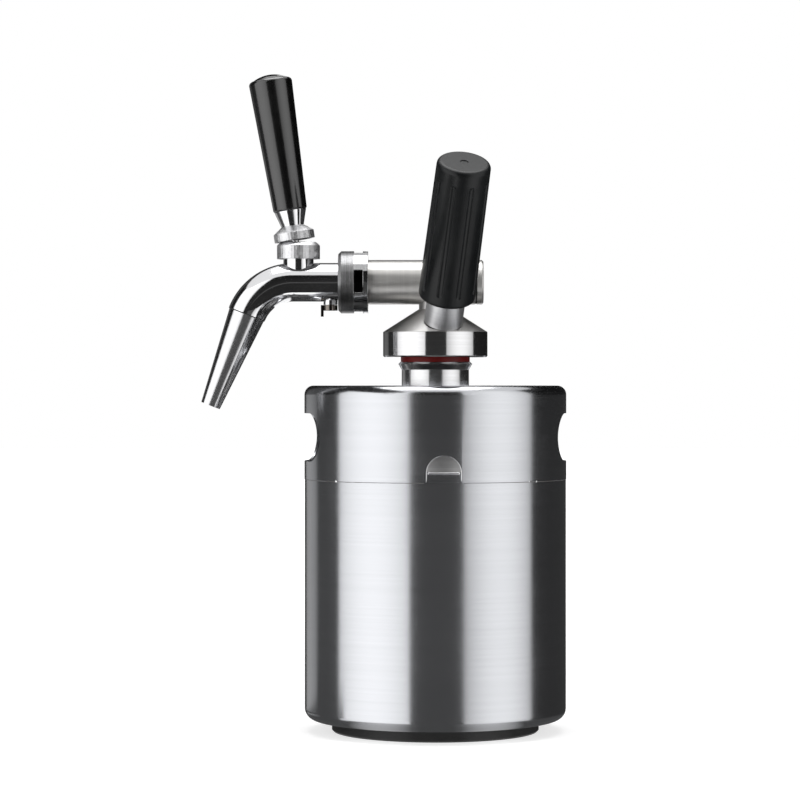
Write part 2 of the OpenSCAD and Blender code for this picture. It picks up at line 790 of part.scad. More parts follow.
module coupling_nut() {
    color("gainsboro") along_shank() difference() {
        rotate_extrude() polygon([
            [barrel_r + thread_gap, -nut_front],
            [nut_r - nut_bevel, -nut_front],
            [nut_r, -nut_front + nut_bevel],
            [nut_r, -nut_rear],
            [nut_bore_r, -nut_rear],
            [nut_bore_r, -nut_front + nut_lip_len],
            [barrel_r + thread_gap, -nut_front + nut_lip_len]
        ]);
        for (i = [0 : nut_slots - 1])
            rotate([0, 0, 270 - slot_angle / 2 + i * 360 / nut_slots])
                rotate_extrude(angle = slot_angle)
                    translate([nut_r - slot_depth, -nut_front + nut_front_len])
                        square([slot_depth + over, nut_slot_len]);
    }
}

module shank_washer() {
    color([0.15, 0.15, 0.15]) along_shank()
        ring(shank_r - fit_gap, shank_bore_r, -tail_rear, -shank_front);
}

module faucet_body() {
    color("gainsboro") difference() {
        union() {
            along_shank() {
                translate([0, 0, -bend_reach]) cylinder(r = barrel_r, h = bend_reach - tail_rear);
                translate([0, 0, -tail_front]) cylinder(r = shank_r, h = tail_len);
            }
            bend(barrel_r, 0);
            bend_corner();
            translate([-pivot_reach, 0, tap_z]) cylinder(r = socket_r, h = pivot_rise + socket_top);
            translate([-flow_reach, 0, flow_boss_z]) cylinder(r = flow_hub_r, h = tap_z - flow_boss_z);
        }
        faucet_ways();
        // rings that hold the lever's ball
        translate([-pivot_reach, 0, pivot_z - ball_seat_low])
            cylinder(r = socket_bore_r, h = ball_seat_low + socket_top + over);
        translate([-pivot_reach, 0, tap_z]) cylinder(r = arm_hole_r, h = pivot_rise);
        // nozzle spigot, its seal and the flow shaft
        along_nozzle() translate([0, 0, -nozzle_spigot_len - nozzle_seal_t])
            cylinder(r = nozzle_spigot_r + fit_gap, h = nozzle_spigot_len + nozzle_seal_t + over);
        translate([-flow_reach, 0, flow_boss_z - over])
            cylinder(r = flow_shaft_r + flow_gap, h = tap_z - flow_boss_z + over);
        translate([-flow_reach, 0, flow_boss_z - over])
            cylinder(r = flow_shaft_r + flow_gap + flow_seal_wall, h = flow_seal_h + over);
    }
}

// Liquid ways of the faucet: the barrel, the seat's throat and the bend
module faucet_ways() {
    along_shank() {
        translate([0, 0, -seat_reach])
            cylinder(r = barrel_bore_r, h = seat_reach - tail_rear + over);
        translate([0, 0, -seat_reach - 2 * seat_len])
            cylinder(r = seat_d / 2, h = 2 * seat_len + over);
    }
    bend(barrel_bore_r, seat_turn);
}

module nozzle() {
    tip_bore_r = nozzle_tip_d / 2 - nozzle_wall;
    seat_t = restrictor_t + straightener_len;
    color("gainsboro") along_nozzle() rotate_extrude() polygon([
        [nozzle_bore_r, -nozzle_spigot_len],
        [nozzle_spigot_r, -nozzle_spigot_len],
        [nozzle_spigot_r, 0],
        [nozzle_top_d / 2, 0],
        [nozzle_tip_d / 2, nozzle_len],
        [tip_bore_r, nozzle_len],
        [nozzle_bore_r - nozzle_step, seat_t - nozzle_spigot_len],
        [nozzle_bore_r, seat_t - nozzle_spigot_len]
    ]);
}

module nozzle_seal() {
    color([0.15, 0.15, 0.15]) along_nozzle()
        ring(nozzle_spigot_r, nozzle_bore_r, -nozzle_spigot_len - nozzle_seal_t, -nozzle_spigot_len);
}

module restrictor_disc() {
    disc_r = nozzle_bore_r - fit_gap;
    color("silver") along_nozzle() translate([0, 0, -nozzle_spigot_len]) difference() {
        cylinder(r = disc_r, h = restrictor_t);
        for (i = [0 : restrictor_jets - 1])
            rotate([0, 0, i * 360 / restrictor_jets])
                translate([disc_r / 2, 0, -over]) cylinder(d = jet_d, h = restrictor_t + 2 * over);
    }
}

module flow_straightener() {
    plug_r = nozzle_bore_r - fit_gap;
    color("white") along_nozzle() translate([0, 0, restrictor_t - nozzle_spigot_len]) difference() {
        cylinder(r = plug_r, h = straightener_len);
        translate([0, 0, -over]) cylinder(d = channel_d, h = straightener_len + 2 * over);
        for (i = [0 : channels - 1])
            rotate([0, 0, i * 360 / channels])
                translate([(plug_r + channel_d / 2) / 2, 0, -over])
                    cylinder(d = channel_d, h = straightener_len + 2 * over);
    }
}

module bonnet() {
    color("gainsboro") translate([-pivot_reach, 0, pivot_z]) rotate_extrude() difference() {
        intersection() {
            circle(bonnet_dome_r);
            translate([0, bonnet_low]) square([bonnet_r, bonnet_mouth_h - bonnet_low]);
        }
        translate([0, bonnet_low - over]) square([socket_r + fit_gap, socket_top - bonnet_low + over]);
        polygon([
            [0, socket_top - over], [friction_mouth_r, socket_top - over],
            [friction_mouth_r, socket_top],
            [bonnet_mouth_r, bonnet_mouth_h], [bonnet_mouth_r, bonnet_mouth_h + over],
            [0, bonnet_mouth_h + over]
        ]);
    }
}

module ball_seat() {
    color("white") translate([-pivot_reach, 0, pivot_z]) difference() {
        translate([0, 0, -ball_seat_low]) cylinder(r = socket_bore_r - fit_gap, h = seat_ring_h);
        sphere(ball_r + ball_gap);
    }
}

module friction_ring() {
    color("white") translate([-pivot_reach, 0, pivot_z]) difference() {
        translate([0, 0, ring_off]) cylinder(r = socket_bore_r - fit_gap, h = friction_h);
        sphere(ball_r + ball_gap);
        rotate_extrude() polygon([
            [0, ball_hold_h], [ball_hold_r, ball_hold_h], [friction_mouth_r, socket_top],
            [friction_mouth_r, socket_top + over], [0, socket_top + over]
        ]);
    }
}

module plunger() {
    color("silver") difference() {
        along_shank() {
            translate([0, 0, head_front]) cylinder(r = head_d / 2, h = head_t);
            translate([0, 0, -seat_reach]) cylinder(r = rod_d / 2, h = guide_front + seat_reach + over);
            translate([0, 0, guide_front]) intersection() {
                cylinder(r = guide_r, h = guide_rear - guide_front);
                translate([-guide_r, -guide_flat_w / 2, 0])
                    cube([2 * guide_r, guide_flat_w, guide_rear - guide_front]);
            }
        }
        // slot for the lever's tip, open at the top
        translate([tip_x - slot_half, -guide_r, tap_z - slot_half])
            cube([2 * slot_half, 2 * guide_r, 2 * guide_r]);
        // top of the guide, cut away under the lever's ball
        translate([guide_front, -guide_r, tap_z + rod_d / 2])
            cube([guide_rear - guide_front + over, 2 * guide_r, guide_r]);
    }
}

module seat_seal() {
    color([0.15, 0.15, 0.15]) along_shank()
        ring(head_d / 2, rod_d / 2, -seat_reach, head_front);
}

module flow_lever() {
    color("gainsboro") translate([-flow_reach, 0, 0]) {
        translate([0, 0, flow_hub_z]) cylinder(r = flow_hub_r, h = flow_hub_h);
        translate([-flow_arm, -flow_arm_w / 2, flow_hub_z])
            cube([flow_arm, flow_arm_w, flow_hub_h]);
        translate([-flow_arm, -flow_arm_w / 2, flow_hub_z - flow_tab_drop])
            cube([flow_tab_t, flow_arm_w, flow_tab_drop + flow_hub_h]);
        translate([0, 0, flow_hub_z])
            cylinder(r = flow_shaft_r, h = flow_shaft_top - flow_hub_z);
        rotate([0, 0, crank_rest]) translate([0, crank_r, flow_shaft_top - over])
            cylinder(r = crank_pin_r, h = crank_pin_h + over);
    }
}

module flow_shaft_seal() {
    seal_r = flow_shaft_r + flow_gap;
    color([0.15, 0.15, 0.15]) translate([-flow_reach, 0, 0])
        ring(seal_r + flow_seal_wall - fit_gap, seal_r, flow_boss_z, flow_boss_z + flow_seal_h);
}

module compensator() {
    crank_x = -flow_reach - crank_r * sin(crank_rest);
    slot_w = 2 * (crank_pin_r + crank_gap);
    front = crank_x - compensator_len / 2;
    color("white") difference() {
        along_shank() difference() {
            translate([0, 0, front]) union() {
                cylinder(d1 = compensator_nose_d, r2 = guide_r, h = compensator_nose);
                translate([0, 0, compensator_nose])
                    cylinder(r = guide_r, h = compensator_len - compensator_nose);
            }
            translate([0, 0, front - over]) cylinder(d = compensator_bore_d, h = compensator_len + 2 * over);
        }
        // cross slot for the crank pin
        translate([crank_x - slot_w / 2, -barrel_bore_r, tap_z - barrel_bore_r])
            cube([slot_w, 2 * barrel_bore_r, crank_pin_h + crank_gap]);
    }
}

module tap_lever() {
    color("gainsboro") along_lever() {
        sphere(ball_r);
        cylinder(r = stem_r, h = stem_top);
        translate([0, 0, -pivot_rise]) cylinder(r = arm_r, h = pivot_rise);
        translate([0, 0, -pivot_rise]) sphere(tip_r);
    }
}

module lever_collar() {
    side_top = collar_rim + collar_side_h;
    color("gainsboro") along_lever() rotate_extrude() difference() {
        polygon([
            [stem_r + fit_gap, collar_rim], [collar_r, collar_rim], [collar_r, side_top],
            [collar_top_d / 2, collar_top], [stem_r + fit_gap, collar_top]
        ]);
        circle(collar_cave_r);
    }
}

module handle_ferrule() {
    color("gainsboro") along_lever() rotate_extrude() polygon([
        [stem_r + fit_gap, collar_top], [ferrule_low_d / 2, collar_top],
        [ferrule_top_d / 2, handle_low], [stem_r + fit_gap, handle_low]
    ]);
}

module handle_insert() {
    color("goldenrod") along_lever()
        ring(insert_d / 2, stem_r + fit_gap, handle_low, handle_low + insert_len);
}

module tap_handle() {
    top_r = handle_top_d / 2;
    low_r = handle_low_d / 2;
    side_top = handle_top - handle_dome_h - handle_edge_r;
    dome_r = top_r - handle_edge_r;
    crown_r = (pow(dome_r, 2) + pow(handle_dome_h, 2)) / (2 * handle_dome_h);
    color([0.06, 0.06, 0.07]) along_lever() difference() {
        union() {
            rotate_extrude() polygon([
                [0, handle_low], [low_r - handle_low_edge, handle_low],
                [low_r, handle_low + handle_low_edge], [top_r, side_top], [0, side_top]
            ]);
            translate([0, 0, side_top]) rotate_extrude() {
                intersection() {
                    translate([dome_r, 0]) circle(handle_edge_r);
                    square([top_r, handle_edge_r]);
                }
                square([dome_r, handle_edge_r]);
            }
            translate([0, 0, side_top + handle_edge_r]) intersection() {
                translate([0, 0, handle_dome_h - crown_r]) sphere(crown_r);
                cylinder(r = dome_r, h = handle_dome_h);
            }
        }
        translate([0, 0, handle_low - over]) cylinder(r = insert_d / 2 + fit_gap, h = insert_len + over);
    }
}

module gas_port() {
    color("gainsboro") along_gas() difference() {
        union() {
            translate([0, 0, spigot_low_t]) cylinder(r = port_spigot_r, h = port_spigot_len + over);
            translate([0, 0, port_seat_t]) cylinder(r = port_r, h = port_len - port_seat_t);
            translate([0, 0, port_len]) cylinder(r = stud_r, h = stud_len);
        }
        translate([0, 0, spigot_low_t - over])
            cylinder(d = gas_bore_d, h = gasket_low_t - spigot_low_t + 2 * over);
        translate([0, 0, gasket_low_t - pin_foot])
            cylinder(r = pin_d / 2 + fit_gap, h = pin_foot + over);
        translate([0, 0, gasket_low_t]) cylinder(r = cart_neck_r + cart_gap, h = socket_depth + over);
    }
}

module port_seal() {
    color([0.15, 0.15, 0.15]) along_gas()
        ring(port_r - seal_inset, port_spigot_r + fit_gap, -gas_seat, port_seat_t);
}

module pierce_pin() {
    foot_t = gasket_low_t - pin_foot;
    point_t = cart_low_t + pin_point;
    color("silver") along_gas() difference() {
        union() {
            translate([0, 0, foot_t]) cylinder(d = pin_d, h = cart_low_t - foot_t);
            translate([0, 0, cart_low_t]) cylinder(d1 = pin_d, d2 = pin_tip_d, h = pin_point);
        }
        translate([0, 0, foot_t - over]) cylinder(d = pin_bore_d, h = point_t - foot_t + 2 * over);
    }
}

module cartridge_gasket() {
    color("firebrick") along_gas()
        ring(cart_neck_r, pin_d / 2 + fit_gap, gasket_low_t, cart_low_t);
}

module check_valve() {
    color("white") along_gas() difference() {
        union() {
            translate([0, 0, spigot_low_t - valve_flange_t]) cylinder(r = port_spigot_r, h = valve_flange_t);
            translate([0, 0, valve_low_t])
                cylinder(d1 = valve_bill_d / 2, d2 = valve_bill_d, h = valve_bill_len);
        }
        translate([0, 0, valve_low_t - over])
            cylinder(d = valve_bore_d, h = valve_flange_t + valve_bill_len + 2 * over);
    }
}

module gas_cartridge() {
    body_t = cart_low_t + cart_neck_len + cart_shoulder_len;
    crown_h = cart_crown_r - sqrt(pow(cart_crown_r, 2) - pow(cart_r, 2));
    color("lightsteelblue") along_gas() difference() {
        rotate_extrude() union() {
            polygon([
                [0, cart_low_t], [cart_neck_r, cart_low_t],
                [cart_neck_r, cart_low_t + cart_neck_len], [cart_r, body_t],
                [cart_r, cart_top_t - crown_h], [0, cart_top_t - crown_h]
            ]);
            intersection() {
                translate([0, cart_top_t - cart_crown_r]) circle(cart_crown_r);
                translate([0, cart_top_t - crown_h]) square([cart_r, crown_h]);
            }
        }
        translate([0, 0, cart_low_t - over])
            cylinder(r = pin_d / 2 + cart_gap, h = pin_point + cart_gap + over);
    }
}

module cartridge_sleeve() {
    color("silver") along_gas() difference() {
        translate([0, 0, port_len]) cylinder(r = sleeve_r, h = sleeve_top_t - port_len);
        translate([0, 0, port_len - over])
            cylinder(r = sleeve_bore_r, h = sleeve_top_t - sleeve_end_t - port_len + over);
    }
}

module grip_sleeve() {
    low_r = grip_low_d / 2;
    top_r = grip_top_d / 2;
    color([0.09, 0.09, 0.1]) along_gas() difference() {
        translate([0, 0, port_len]) intersection() {
            rotate_extrude() {
                drum_section(low_r, grip_len - grip_edge_r, grip_low_edge_r);
                square([top_r - grip_edge_r, grip_len]);
                translate([top_r - grip_edge_r, grip_len - grip_edge_r]) circle(grip_edge_r);
            }
            cylinder(r1 = low_r, r2 = top_r, h = grip_len);
        }
        translate([0, 0, port_len - over])
            cylinder(r = sleeve_r + fit_gap, h = sleeve_top_t - port_len + over);
        translate([0, 0, grip_top_t - dimple_depth]) cylinder(d = dimple_d, h = dimple_depth + over);
        for (i = [0 : grooves - 1]) rotate([0, 0, i * 360 / grooves]) grip_groove();
    }
}

// One groove of the grip, with round ends
module grip_groove() {
    mid_r = (grip_low_d + grip_top_d) / 4;
    run = grip_len - groove_top - groove_low - 2 * groove_r;
    lean = atan((grip_low_d - grip_top_d) / 2 / grip_len);
    translate([mid_r + groove_r - groove_depth, 0, port_len + grip_len / 2 + (groove_low - groove_top) / 2])
        rotate([0, -lean, 0]) rotate_extrude() intersection() {
            union() {
                square([2 * groove_r, run], center = true);
                for (end = [-1, 1]) translate([0, end * run / 2]) circle(groove_r);
            }
            translate([0, -run]) square([groove_r, 2 * run]);
        }
}

base_foot();
keg_body();
keg_dome();
neck_ferrule();
top_chime();
cap_seal();
cap();
dip_tube();
dip_tube_grommet();
riser_post();
shank();
end_plug();
end_plug_seal();
coupling_nut();
shank_washer();
faucet_body();
nozzle();
nozzle_seal();
restrictor_disc();
flow_straightener();
bonnet();
ball_seat();
friction_ring();
plunger();
seat_seal();
flow_lever();
flow_shaft_seal();
compensator();
tap_lever();
lever_collar();
handle_ferrule();
handle_insert();
tap_handle();
gas_port();
port_seal();
pierce_pin();
cartridge_gasket();
check_valve();
gas_cartridge();
cartridge_sleeve();
grip_sleeve();
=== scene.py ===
"""Looks of a mini keg for nitro cold brew coffee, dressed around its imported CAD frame."""
import json
import math

import bpy
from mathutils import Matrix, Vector, noise


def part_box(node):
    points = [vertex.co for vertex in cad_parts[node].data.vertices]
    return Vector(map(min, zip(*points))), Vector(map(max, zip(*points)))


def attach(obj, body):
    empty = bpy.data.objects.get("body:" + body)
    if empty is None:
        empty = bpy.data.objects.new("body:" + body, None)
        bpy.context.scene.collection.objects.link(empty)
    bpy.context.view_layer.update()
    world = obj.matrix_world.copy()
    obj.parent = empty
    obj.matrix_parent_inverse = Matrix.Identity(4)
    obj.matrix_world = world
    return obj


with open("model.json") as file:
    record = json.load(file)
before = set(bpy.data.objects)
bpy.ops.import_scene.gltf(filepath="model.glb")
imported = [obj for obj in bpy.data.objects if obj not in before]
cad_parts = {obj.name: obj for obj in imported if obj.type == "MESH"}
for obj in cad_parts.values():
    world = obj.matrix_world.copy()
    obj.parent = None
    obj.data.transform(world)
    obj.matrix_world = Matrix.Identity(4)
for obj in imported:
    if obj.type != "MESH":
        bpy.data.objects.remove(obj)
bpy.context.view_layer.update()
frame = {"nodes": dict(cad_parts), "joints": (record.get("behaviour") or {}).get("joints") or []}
nodes = frame["nodes"]
joints = {joint["name"]: joint for joint in frame["joints"]}

# Lengths in metres, angles in degrees
MM = 0.001
UP = Vector((0, 0, 1))

# Lean of the lever and of the nozzle from upright, height of the cap's cone above the seal,
# and the angle from which the edge between two faces is shown sharp
LEVER_LEAN, NOZZLE_TILT = 8.8, 21.7
CONE_RISE = 12.5 * MM
SHARP_ANGLE = 30

# Photograph: the frame is 800 pixels square
PHOTO_PX = 800
PX_PER_M = 2006
AXIS_PX = 435.3
GROUND_PX = 730.2
HORIZON_PX = 380
CAMERA_DISTANCE = 1.47
CAMERA_REACH = 50
SENSOR_MM = 36


def heading(angle):
    """Level direction, turned from the camera's side towards +X."""
    turn = math.radians(angle)
    return Vector((math.sin(turn), -math.cos(turn), 0))


def leant(angle):
    """Upward direction, leant towards the tap's side."""
    lean = math.radians(angle)
    return Vector((-math.sin(lean), 0, math.cos(lean)))


def span(node):
    """Lengths of a CAD node's box."""
    low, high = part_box(node)
    return high - low


# Axes as a place and a direction, and heights on the keg
KEG_AXIS = (Vector((0, 0, 0)), UP)
TAP_AXIS = (Vector(joints["nut_turn"]["pos_m"]), Vector((1, 0, 0)))
GAS_AXIS = (Vector(joints["holder_turn"]["pos_m"]), Vector(joints["holder_turn"]["axis"]))
PIVOT = Vector(joints["tap_pull"]["pos_m"])
LEVER_AXIS = (PIVOT, leant(LEVER_LEAN))
NOZZLE_AXIS = (Vector((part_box("nozzle")[0].x, 0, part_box("nozzle")[0].z)), -leant(-NOZZLE_TILT))
KEG_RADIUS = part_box("keg_body")[1].x
SEAM_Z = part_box("top_chime")[0].z
CONE_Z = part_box("cap_seal")[1].z + CONE_RISE

# Stretches of a noise that are spread over a whole range; what lies beyond is clamped
SOFT = (0.3, 0.7)
LINED = (0.32, 0.68)
FIRM = (0.35, 0.65)
CRISP = (0.38, 0.62)
PATCHY = (0.35, 0.7)
SPARSE = (0.4, 0.7)

# Rings on an end face run at this share of the marks' pace along the axis
RING_SHARE = 0.8

# Rotation of a stretched highlight in whole turns, and rays per softened edge
QUARTER_TURN = 0.25
EDGE_SAMPLES = 6


class Paint:
    """A node material: a Principled shader with small calls for the nodes that feed it."""

    def __init__(self, name):
        self.mat = bpy.data.materials.new(name)
        self.mat.use_nodes = True
        self.tree = self.mat.node_tree
        self.shader = self.tree.nodes["Principled BSDF"]

    def feed(self, socket, value):
        """Link a socket to another one, or give it a constant."""
        if isinstance(value, bpy.types.NodeSocket):
            self.tree.links.new(value, socket)
        elif socket.type == "RGBA":
            socket.default_value = (*value, 1)
        else:
            socket.default_value = value

    def set(self, **values):
        """Feed the shader's inputs, named with underscores for spaces."""
        for key, value in values.items():
            self.feed(self.shader.inputs[key.replace("_", " ")], value)

    def node(self, kind, inputs=(), **settings):
        """New node with its settings, its first inputs fed in order."""
        made = self.tree.nodes.new("ShaderNode" + kind)
        for key, value in settings.items():
            setattr(made, key, value)
        for slot, value in enumerate(inputs):
            self.feed(made.inputs[slot], value)
        return made

    def math(self, operation, *values):
        """Result of one operation on numbers."""
        return self.node("Math", values, operation=operation).outputs[0]

    def vector(self, operation, *values):
        """Result of one operation on vectors."""
        made = self.node("VectorMath", values, operation=operation)
        return made.outputs["Value" if operation in ("DOT_PRODUCT", "LENGTH") else "Vector"]

    def spread(self, value, low, high, start=0.0, end=1.0):
        """value from start..end, remapped to low..high and clamped."""
        return self.node("MapRange", (value, start, end, low, high)).outputs[0]

    def mixed(self, first, second, share):
        """Two values added up: a share of the first and the rest of the second."""
        rest = self.math("MULTIPLY", second, 1 - share)
        return self.math("ADD", self.math("MULTIPLY", first, share), rest)

    def blend(self, value, first, second):
        """Colour between two, at a value from 0 to 1."""
        mix = self.node("Mix", data_type="RGBA")
        self.feed(mix.inputs["Factor"], value)
        for socket, colour in zip([s for s in mix.inputs if s.type == "RGBA"], (first, second)):
            self.feed(socket, colour)
        return [s for s in mix.outputs if s.type == "RGBA"][0]

    def noise(self, vector, scale, detail=4.0, roughness=0.55):
        """Value of a noise at a place."""
        made = self.node("TexNoise")
        fed = {"Vector": vector, "Scale": scale, "Detail": detail, "Roughness": roughness}
        for key, value in fed.items():
            self.feed(made.inputs[key], value)
        return made.outputs["Fac"]

    def place(self):
        """Place in the piece's own frame."""
        return self.node("TexCoord").outputs["Object"]

    def cylinder(self, axis):
        """Two places across an axis, the place along it and the radius from it."""
        origin, direction = axis
        side = direction.orthogonal().normalized()
        other = direction.cross(side)
        arm = self.vector("SUBTRACT", self.place(), tuple(origin))
        x = self.vector("DOT_PRODUCT", arm, tuple(side))
        y = self.vector("DOT_PRODUCT", arm, tuple(other))
        along = self.vector("DOT_PRODUCT", arm, tuple(direction))
        return x, y, along, self.vector("LENGTH", self.node("CombineXYZ", (x, y, 0.0)).outputs[0])

    def around(self, axis, along_scale, across_scale):
        """Coordinates that run slowly round an axis and fast along it, as tool marks do."""
        x, y, along, radius = self.cylinder(axis)
        line = self.math("SUBTRACT", along, self.math("MULTIPLY", radius, RING_SHARE))
        return self.node("CombineXYZ", (
            self.math("MULTIPLY", x, across_scale),
            self.math("MULTIPLY", y, across_scale),
            self.math("MULTIPLY", line, along_scale),
        )).outputs[0]

    def turned(self, axis, anisotropy, rotation=QUARTER_TURN):
        """Stretch the highlight, a quarter turn across marks that run round the axis.

        Upright marks need no rotation."""
        tangent = self.node("Tangent", direction_type="RADIAL", axis="Z" if axis[1] == UP else "X")
        self.set(Tangent=tangent.outputs[0], Anisotropic=anisotropy, Anisotropic_Rotation=rotation)

    def relief(self, height, strength, depth, edge=0.0):
        """Bump from a height, over edges softened by the given radius."""
        bump = self.node("Bump")
        fed = {"Strength": strength, "Distance": depth, "Height": height}
        for key, value in fed.items():
            self.feed(bump.inputs[key], value)
        if edge:
            soft = self.node("Bevel", samples=EDGE_SAMPLES)
            self.feed(soft.inputs["Radius"], edge)
            self.feed(bump.inputs["Normal"], soft.outputs[0])
        self.feed(self.shader.inputs["Normal"], bump.outputs[0])


def brushed_steel(name, axis, dark, pale, rough, anisotropy=0.0, relief=0.035, satin=None, edge=0.3 * MM):
    """Steel with brush lines round an axis, faint cloudy handling marks and soft edges.

    satin names a height and a factor: above that height the metal is rougher by the factor
    and in its dark tone."""
    line_pace, streak_pace, cloud_pace = (2600, 9), (420, 5), 16
    line_share, line_depth = 0.6, 0.05 * MM
    line_gloss, cloud_gloss = (0.85 * rough, 1.15 * rough), (-0.08 * rough, 0.12 * rough)
    satin_grey, satin_fade = 0.6, 0.3 * MM
    paint = Paint(name)
    lines = paint.noise(paint.around(axis, *line_pace), 1.0, detail=5, roughness=0.7)
    streaks = paint.noise(paint.around(axis, *streak_pace), 1.0, detail=3, roughness=0.5)
    clouds = paint.noise(paint.place(), cloud_pace, detail=3)
    grey = paint.spread(paint.mixed(lines, streaks, line_share), satin_grey if satin else 0, 1, *LINED)
    gloss = paint.math("ADD", paint.spread(lines, *line_gloss, *SOFT),
                       paint.spread(clouds, *cloud_gloss, *FIRM))
    if satin:
        level, factor = satin
        fade = (level - satin_fade, level)
        height = paint.node("SeparateXYZ", (paint.place(),)).outputs["Z"]
        gloss = paint.math("MULTIPLY", gloss, paint.spread(height, 1.0, factor, *fade))
        grey = paint.math("SUBTRACT", grey, paint.spread(height, 0.0, factor, *fade))
    paint.set(Base_Color=paint.blend(grey, dark, pale), Metallic=1.0, Roughness=gloss)
    if anisotropy:
        paint.turned(axis, anisotropy)
    paint.relief(lines, relief, line_depth, edge)
    return paint.mat


def polished_steel(name, tint):
    """Bright polished metal with hairline marks and a trace of handling."""
    hair_pace, touch_pace = (900, 120, 900), 55
    touch_gloss, hair_gloss, touch_shade = (0.07, 0.12), 0.02, 0.93
    hair_relief, hair_depth = 0.02, 0.02 * MM
    paint = Paint(name)
    hairs = paint.noise(paint.vector("MULTIPLY", paint.place(), hair_pace), 1.0, detail=4, roughness=0.6)
    touch = paint.noise(paint.place(), touch_pace, detail=4)
    gloss = paint.math("ADD", paint.spread(touch, *touch_gloss, *SPARSE),
                       paint.spread(hairs, 0, hair_gloss))
    grey = paint.spread(touch, 0, 1, *SOFT)
    shade = tuple(touch_shade * channel for channel in tint)
    paint.set(Base_Color=paint.blend(grey, tint, shade), Metallic=1.0, Roughness=gloss)
    paint.relief(hairs, hair_relief, hair_depth)
    return paint.mat


def slotted_nut(name, front, radius):
    """Spanner nut: a rough-turned front band, polished behind it, and painted shade: near-black colour deep
    in its spanner slots.
    """
    band_end, slot_top = (7.6 * MM, 7.9 * MM), (radius - 2.0 * MM, radius - 1.5 * MM)
    # The first colour is painted shade for the deep parts of the slots; the second is the steel's tone
    slot_shade, steel = (0.012, 0.012, 0.012), (0.66, 0.66, 0.67)
    pit_pace, ring_pace, pit_share = 2100, (3800, 20), 0.55
    rough_tone, rough_gloss = (0.22, 0.52), (0.32, 0.42)
    paler, smoother, stretch = 0.3, 0.24, 0.8
    grain_relief, grain_depth, polished_share, edge = 0.16, 0.12 * MM, 0.15, 0.5 * MM
    paint = Paint(name)
    _, _, along, reach = paint.cylinder(TAP_AXIS)
    polished = paint.spread(paint.math("ADD", along, TAP_AXIS[0].x - front), 0, 1, *band_end)
    # Mask for the painted shade: 0 deep in the slots, where the colour goes near-black, and 1 elsewhere
    unshaded = paint.math("MAXIMUM", paint.spread(reach, 0, 1, *slot_top), paint.spread(polished, 1, 0))
    pits = paint.noise(paint.place(), pit_pace, detail=3, roughness=0.6)
    rings = paint.noise(paint.around(TAP_AXIS, *ring_pace), 1.0, detail=3, roughness=0.6)
    grain = paint.mixed(pits, rings, pit_share)
    tone = paint.math("ADD", paint.spread(grain, *rough_tone, *CRISP),
                      paint.math("MULTIPLY", polished, paler))
    gloss = paint.math("SUBTRACT", paint.spread(grain, *rough_gloss, *FIRM),
                       paint.math("MULTIPLY", polished, smoother))
    paint.set(Base_Color=paint.blend(paint.math("MULTIPLY", tone, unshaded), slot_shade, steel),
              Metallic=1.0, Roughness=gloss)
    paint.turned(TAP_AXIS, stretch)
    ridges = paint.math("MULTIPLY", grain, paint.spread(polished, 1.0, polished_share))
    paint.relief(ridges, grain_relief, grain_depth, edge)
    return paint.mat


def knurled_steel(name, axis, radius, teeth):
    """Polished metal whose outer band carries a fine straight knurl."""
    knurl_skin, wear_pace = (radius - 0.7 * MM, radius - 0.4 * MM), 700
    dark, pale, wear_gloss = (0.6, 0.6, 0.61), (0.78, 0.78, 0.79), (0.26, 0.36)
    stretch, knurl_relief, knurl_depth, edge = 0.7, 0.2, 0.1 * MM, 0.3 * MM
    paint = Paint(name)
    x, y, _, reach = paint.cylinder(axis)
    turn = paint.math("MULTIPLY", paint.math("ARCTAN2", y, x), float(teeth))
    wear = paint.noise(paint.place(), wear_pace, detail=4, roughness=0.6)
    ridge = paint.math("MULTIPLY", paint.math("ADD", paint.math("SINE", turn), wear),
                       paint.spread(reach, 0, 1, *knurl_skin))
    paint.set(Base_Color=paint.blend(paint.spread(wear, 0, 1, *FIRM), dark, pale),
              Metallic=1.0, Roughness=paint.spread(wear, *wear_gloss, *SOFT))
    paint.turned((axis[0], UP), stretch, rotation=0.0)
    paint.relief(ridge, knurl_relief, knurl_depth, edge)
    return paint.mat


def weld_and_shade_steel(name):
    """Ground weld: dull grey metal with patches of brown and blue heat tint, its dark tone partly painted
    shade for the gap along the seam.
    """
    brown, blue, tint_pace = (0.1, 0.094, 0.086), (0.17, 0.17, 0.18), 90
    metal, ripple_gloss, ripple_pace = 0.3, (0.38, 0.55), 1400
    ripple_relief, ripple_depth = 0.3, 0.08 * MM
    paint = Paint(name)
    tint = paint.noise(paint.place(), tint_pace, detail=3)
    ripple = paint.noise(paint.place(), ripple_pace, detail=4, roughness=0.6)
    paint.set(Base_Color=paint.blend(paint.spread(tint, 0, 1, *FIRM), brown, blue),
              Metallic=metal, Roughness=paint.spread(ripple, *ripple_gloss, *SOFT))
    paint.relief(ripple, ripple_relief, ripple_depth)
    return paint.mat


def gloss_black(name):
    """Lacquered black handle: a clear coat over a faintly uneven ground, with rub marks."""
    dark, pale, rub_gloss = (0.001, 0.001, 0.001), (0.003, 0.003, 0.003), (0.16, 0.26)
    peel_pace, rub_pace = 420, 70
    peel_relief, peel_depth, edge = 0.04, 0.1 * MM, 0.4 * MM
    paint = Paint(name)
    peel = paint.noise(paint.place(), peel_pace, detail=2)
    rub = paint.noise(paint.place(), rub_pace, detail=5)
    paint.set(Base_Color=paint.blend(paint.spread(rub, 0, 1, *PATCHY), dark, pale),
              Roughness=paint.spread(rub, *rub_gloss, *PATCHY),
              Specular_IOR_Level=0.5, Coat_Weight=1.0, Coat_Roughness=0.13)
    paint.relief(peel, peel_relief, peel_depth, edge)
    return paint.mat


